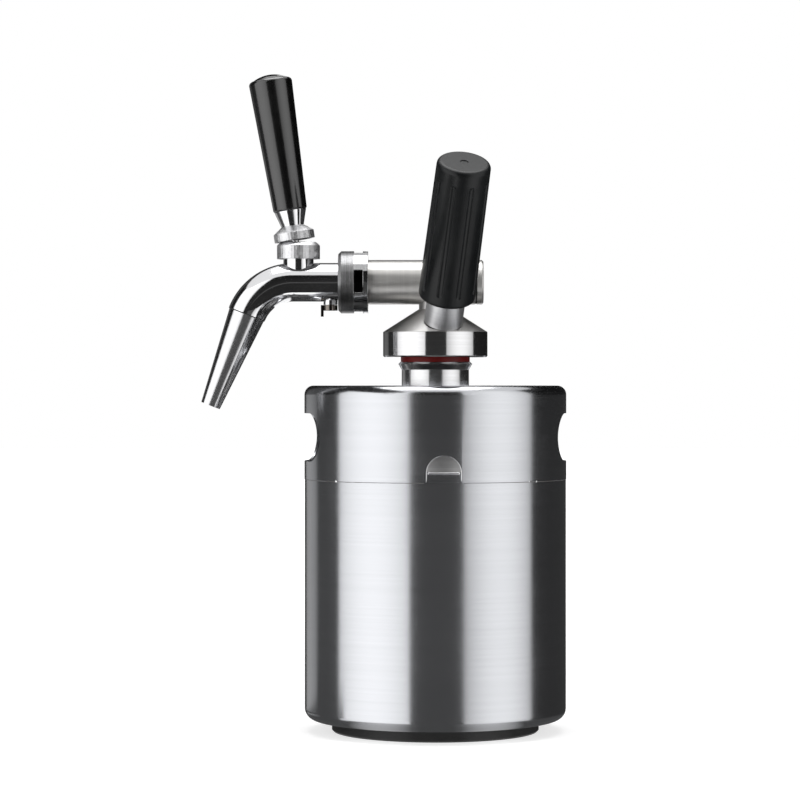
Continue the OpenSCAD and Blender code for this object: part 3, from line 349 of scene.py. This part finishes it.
def moulded(name, dark, pale, rough, grain, depth, shine=0.5):
    """Moulded rubber or plastic with a fine cast grain and faint scuffs."""
    scuff_pace, scuff_gloss, grain_gloss = 60, (rough - 0.05, rough + 0.05), (-0.03, 0.03)
    grain_relief, edge = 0.35, 0.4 * MM
    paint = Paint(name)
    speck = paint.noise(paint.place(), grain, detail=3, roughness=0.6)
    scuff = paint.noise(paint.place(), scuff_pace, detail=5, roughness=0.6)
    gloss = paint.math("ADD", paint.spread(scuff, *scuff_gloss, *PATCHY),
                       paint.spread(speck, *grain_gloss, *SOFT))
    paint.set(Base_Color=paint.blend(paint.spread(scuff, 0, 1, *PATCHY), dark, pale),
              Roughness=gloss, Specular_IOR_Level=shine)
    paint.relief(speck, grain_relief, depth, edge)
    return paint.mat


# Brushed steels, each with a dark and a pale tone, its roughness and the stretch of its highlights
keg_steel = brushed_steel(
    "keg_steel", KEG_AXIS, (0.512, 0.52, 0.54), (0.552, 0.56, 0.582), 0.2, 0.6, edge=0.0)
# Painted shade: the dome gets a very dark steel colour for the shade inside the chime's well
shaded_dome_steel = brushed_steel("shaded_dome_steel", KEG_AXIS, (0.13, 0.13, 0.13), (0.19, 0.19, 0.19), 0.36)
cap_steel = brushed_steel(
    "cap_steel", KEG_AXIS, (0.46, 0.455, 0.45), (0.7, 0.7, 0.71), 0.1, 0.3, satin=(CONE_Z, 3.6))
neck_steel = brushed_steel("neck_steel", KEG_AXIS, (0.58, 0.58, 0.58), (0.7, 0.7, 0.71), 0.16, 0.3)
shank_steel = brushed_steel("shank_steel", TAP_AXIS, (0.58, 0.57, 0.55), (0.72, 0.71, 0.69), 0.4, 0.85)
port_steel = brushed_steel("port_steel", GAS_AXIS, (0.6, 0.6, 0.61), (0.74, 0.74, 0.75), 0.34)
lever_steel = brushed_steel("lever_steel", LEVER_AXIS, (0.68, 0.68, 0.69), (0.8, 0.8, 0.81), 0.09)
nozzle_steel = brushed_steel(
    "nozzle_steel", NOZZLE_AXIS, (0.62, 0.62, 0.63), (0.74, 0.74, 0.75), 0.15, relief=0.004, edge=0.0)
inner_steel = brushed_steel("inner_steel", KEG_AXIS, (0.45, 0.45, 0.46), (0.6, 0.6, 0.61), 0.3)

# Other metals
nut_steel = slotted_nut("nut_steel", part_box("coupling_nut")[0].x, 0.5 * span("coupling_nut").z)
bonnet_steel = knurled_steel("bonnet_steel", (PIVOT, UP), 0.5 * span("bonnet").x, teeth=44)
collar_steel = knurled_steel("collar_steel", LEVER_AXIS, 0.5 * span("lever_collar").y, teeth=40)
# Partly painted shade: the weld's dark colour also stands in for the shadow in the seam's gap
seam_weld_and_shade = weld_and_shade_steel("seam_weld_and_shade")
edge_steel = polished_steel("edge_steel", (0.7, 0.7, 0.71))
chrome = polished_steel("chrome", (0.78, 0.78, 0.79))
# Painted shade: the flow lever's metal is tinted dark for the shade under the faucet's barrel
shaded_lever_metal = polished_steel("shaded_lever_metal", (0.2, 0.18, 0.16))
brass = polished_steel("brass", (0.72, 0.52, 0.25))

# Lacquer, rubber and plastic. A moulded one has a dark and a pale tone, its roughness,
# the pace of its grain and the depth of its grain.
handle_black = gloss_black("handle_black")
grip_black = moulded(
    "grip_black", (0.003, 0.0035, 0.004), (0.006, 0.007, 0.0075), 0.34, 2600, 0.06 * MM, shine=0.28)
rubber_black = moulded("rubber_black", (0.012, 0.012, 0.012), (0.03, 0.03, 0.03), 0.6, 1500, 0.1 * MM)
# Painted shade: this red rubber is darkened for the shade on the recessed cap seal; the cartridge gasket
# shares it
rubber_red = moulded(
    "rubber_red", (0.14, 0.002, 0.002), (0.22, 0.004, 0.003), 0.4, 1500, 0.06 * MM, shine=0.2)
polymer_white = moulded("polymer_white", (0.76, 0.76, 0.73), (0.86, 0.86, 0.83), 0.45, 1800, 0.05 * MM)

# A node that is not listed here is of black rubber
FINISH = {
    "keg_body": keg_steel, "keg_dome": shaded_dome_steel, "top_chime": keg_steel, "neck_ferrule": neck_steel,
    "cap": cap_steel, "riser_post": cap_steel, "dip_tube": inner_steel,
    "shank": shank_steel, "end_plug": shank_steel, "coupling_nut": nut_steel,
    "gas_port": port_steel, "cartridge_sleeve": port_steel,
    "gas_cartridge": port_steel, "pierce_pin": port_steel,
    "faucet_body": chrome, "bonnet": bonnet_steel, "flow_lever": shaded_lever_metal, "plunger": inner_steel,
    "nozzle": nozzle_steel, "restrictor_disc": nozzle_steel,
    "tap_lever": lever_steel, "lever_collar": collar_steel, "handle_ferrule": lever_steel,
    "handle_insert": brass, "tap_handle": handle_black, "grip_sleeve": grip_black,
    "base_foot": rubber_black, "cap_seal": rubber_red, "cartridge_gasket": rubber_red,
    "ball_seat": polymer_white, "friction_ring": polymer_white, "flow_straightener": polymer_white,
    "compensator": polymer_white, "check_valve": polymer_white,
}

for name, node in nodes.items():
    node.data.materials.clear()
    node.data.materials.append(FINISH.get(name, rubber_black))
    node.data.shade_smooth()
    split = node.modifiers.new("sharp_edges", "EDGE_SPLIT")
    split.split_angle = math.radians(SHARP_ANGLE)


def dress(name, vertices, faces, material, body):
    """New piece of the visual model, smooth shaded, riding with a body."""
    mesh = bpy.data.meshes.new(name)
    mesh.from_pydata(vertices, [], faces)
    mesh.materials.append(material)
    mesh.shade_smooth()
    piece = bpy.data.objects.new(name, mesh)
    bpy.context.scene.collection.objects.link(piece)
    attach(piece, body)


# Weld between the keg's body and its chime, open at the two drain arches; its dark bead is partly painted
# shade for the gap along the seam.
# Its outline goes across the bead and out from the keg, in half widths and heights.
# A height below zero stands for the root, under the keg's surface.
KEG_TURN = 3
ARCH_HALF = 8.4
WELD_STEP = 0.5
WELD_HALF, WELD_PROUD, WELD_ROOT = 0.36 * MM, 0.13 * MM, 0.3 * MM
WELD_RIPPLE, WELD_PITCH = 0.03 * MM, 1.4
WELD_DRIFT, WELD_DRIFT_PACE = 0.08 * MM, 0.35
WELD_OUTLINE = ((-1, -1), (-0.8, 0.35), (0, 1), (0.8, 0.35), (1, -1))


def weld_seam(name, first, last):
    """Rippled bead along the seam, from one angle to another."""
    steps = round((last - first) / WELD_STEP)
    vertices, faces = [], []
    for step in range(steps + 1):
        angle = first + step * WELD_STEP
        wave = WELD_RIPPLE * math.cos(2 * math.pi * angle / WELD_PITCH)
        drift = WELD_DRIFT * noise.noise(Vector((angle * WELD_DRIFT_PACE, 0, 0)))
        for across, out in WELD_OUTLINE:
            reach = WELD_PROUD * out + wave if out > 0 else -WELD_ROOT
            vertices.append((KEG_RADIUS + min(reach, WELD_PROUD)) * heading(angle)
                            + (SEAM_Z + across * WELD_HALF + drift) * UP)
    row = len(WELD_OUTLINE)
    for step in range(steps):
        for part in range(row):
            a, b = step * row + part, step * row + (part + 1) % row
            faces.append((a, b, b + row, a + row))
    faces.append(tuple(range(row - 1, -1, -1)))
    faces.append(tuple(steps * row + part for part in range(row)))
    dress(name, vertices, faces, seam_weld_and_shade, "keg")


weld_seam("seam_weld_right", KEG_TURN + ARCH_HALF, KEG_TURN + 180 - ARCH_HALF)
weld_seam("seam_weld_left", KEG_TURN + 180 + ARCH_HALF, KEG_TURN + 360 - ARCH_HALF)

# Tacks across the seam, each with its angle from the front or back, its width and its height
TACKS = (
    ("wide", -48.7, 3.4 * MM, 1.7 * MM),
    ("inner", 43.6, 1.9 * MM, 1.3 * MM),
    ("outer", 48.2, 1.7 * MM, 1.3 * MM),
)
TACK_PROUD, TACK_UNEVEN, TACK_PACE = 0.4 * MM, 0.22, 2
TACK_RINGS, TACK_SPOKES = 4, 16


def tack_weld(name, angle, width, tall):
    """Small uneven tack across the seam."""
    vertices = [(KEG_RADIUS + TACK_PROUD) * heading(angle) + SEAM_Z * UP]
    for ring in range(1, TACK_RINGS + 1):
        share = ring / TACK_RINGS
        root = WELD_ROOT if ring == TACK_RINGS else 0
        for spoke in range(TACK_SPOKES):
            turn = 2 * math.pi * spoke / TACK_SPOKES
            spot = Vector((math.cos(turn) * TACK_PACE + angle, math.sin(turn) * TACK_PACE, share))
            rough = 1 + TACK_UNEVEN * noise.noise(spot)
            side = 0.5 * width * share * rough * math.cos(turn)
            rise = 0.5 * tall * share * rough * math.sin(turn)
            swell = TACK_PROUD * (1 - share ** 2) - root
            place = heading(angle + math.degrees(side / KEG_RADIUS))
            vertices.append((KEG_RADIUS + swell) * place + (SEAM_Z + rise) * UP)
    faces = [(0, 1 + spoke, 1 + (spoke + 1) % TACK_SPOKES) for spoke in range(TACK_SPOKES)]
    for ring in range(TACK_RINGS - 1):
        inner, outer = 1 + ring * TACK_SPOKES, 1 + (ring + 1) * TACK_SPOKES
        for spoke in range(TACK_SPOKES):
            ahead = (spoke + 1) % TACK_SPOKES
            faces.append((inner + spoke, outer + spoke, outer + ahead, inner + ahead))
    rim = 1 + (TACK_RINGS - 1) * TACK_SPOKES
    faces.append(tuple(rim + spoke for spoke in range(TACK_SPOKES - 1, -1, -1)))
    dress(name, vertices, faces, edge_steel, "keg")


for side, turn in (("front", 0), ("back", 180)):
    for kind, angle, width, tall in TACKS:
        tack_weld("tack_%s_%s" % (side, kind), turn + angle, width, tall)

# Rounded cut edge of each drain arch, and the bead along the dome's ledge that shows through it
CHIME_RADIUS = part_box("top_chime")[1].x
LEDGE_RADIUS, LEDGE_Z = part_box("keg_dome")[1].x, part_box("keg_dome")[0].z
ARCH_RADIUS, ARCH_LEG, ARCH_FOOT, ARCH_STEP = 8.7 * MM, 4.5 * MM, 0.3 * MM, 6
EDGE_THICK, EDGE_SINK = 0.8 * MM, 0.5 * MM
BEAD_THICK, BEAD_SINK, BEAD_RISE = 1.3 * MM, 0.35 * MM, 0.4 * MM
BEAD_HALF, BEAD_STEPS = 7.3, 8
ROD_SIDES = 12


def rod(name, places, thickness, material):
    """Round bar through places on the keg, its section square to the way it runs."""
    vertices, faces = [], []
    for step, place in enumerate(places):
        ahead = places[min(step + 1, len(places) - 1)] - places[max(step - 1, 0)]
        outward = Vector((place.x, place.y, 0)).normalized()
        outward = (outward - outward.project(ahead)).normalized()
        across = ahead.normalized().cross(outward)
        for side in range(ROD_SIDES):
            turn = 2 * math.pi * side / ROD_SIDES
            vertices.append(place + 0.5 * thickness * (math.cos(turn) * outward + math.sin(turn) * across))
    for step in range(len(places) - 1):
        for side in range(ROD_SIDES):
            a, b = step * ROD_SIDES + side, step * ROD_SIDES + (side + 1) % ROD_SIDES
            faces.append((a, b, b + ROD_SIDES, a + ROD_SIDES))
    faces.append(tuple(range(ROD_SIDES - 1, -1, -1)))
    faces.append(tuple((len(places) - 1) * ROD_SIDES + side for side in range(ROD_SIDES)))
    dress(name, vertices, faces, material, "keg")


def on_chime(turn, sideways, rise):
    """Place on the chime's sheet, a way sideways from an arch's middle and a rise above the seam."""
    angle = turn + math.degrees(math.asin(sideways / CHIME_RADIUS))
    return (CHIME_RADIUS - EDGE_SINK) * heading(angle) + (SEAM_Z + rise) * UP


def on_ledge(angle):
    """Place on the rim of the dome's ledge."""
    return (LEDGE_RADIUS - BEAD_SINK) * heading(angle) + (LEDGE_Z + BEAD_RISE) * UP


for side, turn in (("front", KEG_TURN), ("back", KEG_TURN + 180)):
    legs = [ARCH_FOOT, 0.5 * ARCH_LEG]
    edge = [on_chime(turn, ARCH_RADIUS, rise) for rise in legs]
    for step in range(0, 181, ARCH_STEP):
        bend = math.radians(step)
        edge.append(on_chime(turn, ARCH_RADIUS * math.cos(bend), ARCH_LEG + ARCH_RADIUS * math.sin(bend)))
    edge += [on_chime(turn, -ARCH_RADIUS, rise) for rise in reversed(legs)]
    rod("arch_edge_%s" % side, edge, EDGE_THICK, edge_steel)
    ledge = [on_ledge(turn + BEAD_HALF * step / BEAD_STEPS) for step in range(-BEAD_STEPS, BEAD_STEPS + 1)]
    rod("ledge_bead_%s" % side, ledge, BEAD_THICK, edge_steel)

# Edge of the seal that shows between the faucet's bend and its nozzle
SEAL_THICK, SEAL_SHIFT = 0.6 * MM, 0.25 * MM
SEAL_TURNS, SEAL_SIDES = 96, 10
SAME_PLACE = 0.01 * MM


def widest_ring(node, direction):
    """Middle and radius of the widest ring of a part turned about a direction."""
    places = [vertex.co for vertex in nodes[node].data.vertices]
    tip = max(place.dot(direction) for place in places)
    end = [place for place in places if place.dot(direction) > tip - SAME_PLACE]
    centre = sum(end, Vector()) / len(end)
    arms = [(place - centre) - (place - centre).project(direction) for place in places]
    radius = max(arm.length for arm in arms)
    rise = [place.dot(direction) for place, arm in zip(places, arms) if arm.length > radius - SAME_PLACE]
    return centre + (sum(rise) / len(rise) - centre.dot(direction)) * direction, radius


def seal_ring(name, middle, direction, radius):
    """Round bead of rubber, closed round an axis."""
    side = direction.orthogonal().normalized()
    other = direction.cross(side)
    vertices, faces = [], []
    for step in range(SEAL_TURNS):
        turn = 2 * math.pi * step / SEAL_TURNS
        out = math.cos(turn) * side + math.sin(turn) * other
        for part in range(SEAL_SIDES):
            roll = 2 * math.pi * part / SEAL_SIDES
            arm = math.cos(roll) * out + math.sin(roll) * direction
            vertices.append(middle + radius * out + 0.5 * SEAL_THICK * arm)
            row, ahead = step * SEAL_SIDES, (step + 1) % SEAL_TURNS * SEAL_SIDES
            beside = (part + 1) % SEAL_SIDES
            faces.append((row + part, ahead + part, ahead + beside, row + beside))
    dress(name, vertices, faces, rubber_black, "faucet")


nozzle_top, nozzle_radius = widest_ring("nozzle", NOZZLE_AXIS[1])
seal_ring("nozzle_joint_seal", nozzle_top + SEAL_SHIFT * NOZZLE_AXIS[1], NOZZLE_AXIS[1], nozzle_radius)


def level_corners(x, y, z):
    """Corners of a level panel over two ranges, at a height."""
    return [Vector((x[0], y[0], z)), Vector((x[1], y[0], z)),
            Vector((x[1], y[1], z)), Vector((x[0], y[1], z))]


def sheet(name, corners, material):
    """One flat stage panel."""
    mesh = bpy.data.meshes.new(name)
    mesh.from_pydata(corners, [], [tuple(range(len(corners)))])
    mesh.materials.append(material)
    panel = bpy.data.objects.new(name, mesh)
    bpy.context.scene.collection.objects.link(panel)


# White floor, which glows more with distance so that no horizon shows
FLOOR_REACH = (-6.0, 6.0)
GLOW_NEAR, GLOW_FAR = 0.7, 1.0
GLOW_START, GLOW_END = 0.35, 1.1
floor_paint = Paint("floor_white")
floor_way = floor_paint.vector("LENGTH", floor_paint.place())
floor_glow = floor_paint.spread(floor_way, GLOW_NEAR, GLOW_FAR, GLOW_START, GLOW_END)
floor_paint.set(Base_Color=(0.5, 0.5, 0.5), Roughness=0.9,
                Emission_Color=(1, 1, 1), Emission_Strength=floor_glow)
sheet("floor", level_corners(FLOOR_REACH, FLOOR_REACH, 0), floor_paint.mat)

# Bright cards and dark flags, seen only in the metal. One that stands over some angles shows on the keg
# as an upright band. From the camera's side, the keg at half an angle mirrors what stands at the whole
# angle. Tiers are heights on a screen with the share of brightness left there.
CARD_STEP = 3
CARD_FAR, CARD_TOP, CARD_LIFT = 2.4, 2.4, 0.5 * MM
EVEN = ((0, 1), (CARD_TOP, 1))
DIM_ALOFT = ((0, 1), (0.15, 1), (0.19, 0.35), (0.32, 0.25), (CARD_TOP, 0.1))
card_paint = Paint("studio_card")
card_shine = card_paint.node("Attribute", attribute_name="shine").outputs["Fac"]
card_paint.set(Base_Color=(0, 0, 0), Roughness=0.9, Specular_IOR_Level=0.0,
               Emission_Color=(1, 1, 1), Emission_Strength=card_shine)


def studio_card(name, corners, faces, shine):
    """Panel with a brightness at each corner, seen only in the metal."""
    mesh = bpy.data.meshes.new(name)
    mesh.from_pydata(corners, [], faces)
    mesh.attributes.new("shine", "FLOAT", "POINT").data.foreach_set("value", shine)
    mesh.materials.append(card_paint.mat)
    card = bpy.data.objects.new(name, mesh)
    bpy.context.scene.collection.objects.link(card)
    card.visible_camera = False
    card.visible_shadow = False
    card.visible_diffuse = False


def plain_card(name, corners, shine):
    """Four-cornered panel of one brightness."""
    studio_card(name, corners, [(0, 1, 2, 3)], [shine] * 4)


def studio_screen(name, first, last, peak, fall=0.0, tiers=EVEN):
    """Upright screen with the table in front of it; its brightness falls from the middle to both ends."""
    steps = max(2, round(abs(last - first) / CARD_STEP))
    row = len(tiers) + 1
    corners, faces, shine = [], [], []
    for step in range(steps + 1):
        share = step / steps
        angle = first + (last - first) * share
        near = KEG_RADIUS * heading(angle / 2) + CARD_LIFT * UP
        far = near + CARD_FAR * heading(angle)
        level = peak * (1 - fall * (2 * share - 1) ** 2)
        corners += [near] + [far + height * UP for height, _ in tiers]
        shine += [level] + [level * left for _, left in tiers]
    for step in range(steps):
        for part in range(step * row, step * row + row - 1):
            faces.append((part, part + 1, part + row + 1, part + row))
    studio_card(name, corners, faces, shine)


# Angles at which one screen ends and the next begins, and the brightness of the screens
FRONT_LEFT, FRONT_RIGHT = -23, 24
SIDE_LEFT, SIDE_RIGHT = -94, 92
REAR_LEFT, BACK_LEFT, BACK = -128, -159, 180
LEFT_SHINE, RIGHT_SHINE, REAR_SHINE = 1.69, 1.42, 0.44
FLAG_SHINE, EDGE_SHINE = 0.085, 0.04
studio_screen("card_left", SIDE_LEFT, FRONT_LEFT, LEFT_SHINE, fall=0.33)
studio_screen("card_right", FRONT_RIGHT, SIDE_RIGHT, RIGHT_SHINE, fall=0.5)
studio_screen("flag_front", FRONT_LEFT, FRONT_RIGHT, FLAG_SHINE, tiers=DIM_ALOFT)
studio_screen("flag_left", SIDE_LEFT, REAR_LEFT, FLAG_SHINE, tiers=DIM_ALOFT)
studio_screen("card_behind_left", REAR_LEFT, BACK_LEFT, REAR_SHINE, fall=0.3, tiers=DIM_ALOFT)
studio_screen("flag_behind_left", BACK_LEFT, -BACK, EDGE_SHINE, tiers=DIM_ALOFT)
studio_screen("flag_right", SIDE_RIGHT, BACK, EDGE_SHINE, tiers=DIM_ALOFT)

# Mat under the keg, paler below the two cards
MAT_RADIUS, MAT_STEP, MAT_LIFT = 1.25 * KEG_RADIUS, 4, 2 * CARD_LIFT
MAT_SHINE, MAT_CARD_MIDDLE, MAT_CARD_HALF = 0.75, 58, 38
mat_edge, mat_shine = [MAT_LIFT * UP], [FLAG_SHINE]
for angle in range(-180, 180, MAT_STEP):
    off_middle = (abs(2 * angle) - MAT_CARD_MIDDLE) / MAT_CARD_HALF
    mat_edge.append(heading(angle) * MAT_RADIUS + MAT_LIFT * UP)
    mat_shine.append(max(FLAG_SHINE, MAT_SHINE * (1 - off_middle ** 2)))
mat_turns = len(mat_edge) - 1
mat_faces = [(0, 1 + turn, 1 + (turn + 1) % mat_turns) for turn in range(mat_turns)]
studio_card("flag_mat", mat_edge, mat_faces, mat_shine)

# Dark tray under the tap
TRAY_X, TRAY_Y, TRAY_LIFT = (-0.2, -0.085), (-0.05, 0.06), 3 * CARD_LIFT
plain_card("flag_tray", level_corners(TRAY_X, TRAY_Y, TRAY_LIFT), FLAG_SHINE)

# Dark apron in front of the faucet and just below its barrel, too high for the keg and the nozzle to mirror
APRON_X, APRON_Y, APRON_DROP, APRON_SHINE = (-0.1, -0.042), (-0.12, -0.012), 14.5 * MM, 0.02
plain_card("flag_apron", level_corners(APRON_X, APRON_Y, TAP_AXIS[0].z - APRON_DROP), APRON_SHINE)

# Fins beside the keg, so that its edges stay dark when it is seen from behind.
# Each has its place along Y, and the two ends of its reach sideways.
FIN_TALL = 0.15
FINS = (("near", -0.04, 0.075, 0.11), ("far", -0.02, 0.093, 0.4))
for side, way, shine in (("left", -1, FLAG_SHINE), ("right", 1, EDGE_SHINE)):
    for kind, y, first, last in FINS:
        outline = ((first, 0), (last, 0), (last, FIN_TALL), (first, FIN_TALL))
        plain_card("flag_fin_%s_%s" % (side, kind), [Vector((way * x, y, z)) for x, z in outline], shine)


def softbox(name, place, width, tall, power):
    """Studio lamp at a place, facing down."""
    lamp = bpy.data.lights.new(name, "AREA")
    lamp.shape = "RECTANGLE"
    lamp.size, lamp.size_y, lamp.energy = width, tall, power
    holder = bpy.data.objects.new(name, lamp)
    holder.location = place
    bpy.context.scene.collection.objects.link(holder)
    return holder


# Two tall lamps that face the keg, each with its angle, width and power, and a square one overhead.
# The metal mirrors the cards in place of the tall lamps.
SIDE_LAMPS = (("softbox_left", -58, 1.7, 9), ("softbox_right", 61, 1.6, 6.8))
LAMP_DISTANCE, LAMP_HEIGHT, LAMP_TALL = 1.6, 0.8, 1.58
TOP_PLACE, TOP_SIZE, TOP_POWER = (0, 0.1, 1.9), 1.4, 22
for name, angle, width, power in SIDE_LAMPS:
    holder = softbox(name, LAMP_DISTANCE * heading(angle) + LAMP_HEIGHT * UP, width, LAMP_TALL, power)
    holder.rotation_euler = (LAMP_HEIGHT * UP - holder.location).to_track_quat("-Z", "Y").to_euler()
    holder.visible_glossy = False
softbox("softbox_top", TOP_PLACE, TOP_SIZE, TOP_SIZE, TOP_POWER)

# White to the camera and to reflections, softer as light
WORLD_LIGHT, WORLD_SEEN = 0.35, 1.0
world = bpy.data.worlds.new("studio")
world.use_nodes = True
bpy.context.scene.world = world
links, made = world.node_tree.links, world.node_tree.nodes
background = made["Background"]
background.inputs["Color"].default_value = (1, 1, 1, 1)
rays = made.new("ShaderNodeLightPath")
seen = rays.outputs["Is Camera Ray"]
for ray in ("Is Glossy Ray", "Is Transmission Ray"):
    either = made.new("ShaderNodeMath")
    either.operation = "MAXIMUM"
    links.new(seen, either.inputs[0])
    links.new(rays.outputs[ray], either.inputs[1])
    seen = either.outputs[0]
strength = made.new("ShaderNodeMapRange")
strength.inputs["To Min"].default_value = WORLD_LIGHT
strength.inputs["To Max"].default_value = WORLD_SEEN
links.new(seen, strength.inputs["Value"])
links.new(strength.outputs[0], background.inputs["Strength"])

# Camera, level with the photograph's horizon
camera = bpy.data.cameras.new("camera")
camera.sensor_width = SENSOR_MM
camera.lens = PX_PER_M * CAMERA_DISTANCE * SENSOR_MM / PHOTO_PX
camera.shift_y = (HORIZON_PX - PHOTO_PX / 2) / PHOTO_PX
camera.clip_end = CAMERA_REACH
view = bpy.data.objects.new("camera", camera)
view.location = ((PHOTO_PX / 2 - AXIS_PX) / PX_PER_M, -CAMERA_DISTANCE, (GROUND_PX - HORIZON_PX) / PX_PER_M)
view.rotation_euler = (math.pi / 2, 0, 0)
bpy.context.scene.collection.objects.link(view)
bpy.context.scene.camera = view

bpy.context.scene.view_settings.view_transform = "Standard"
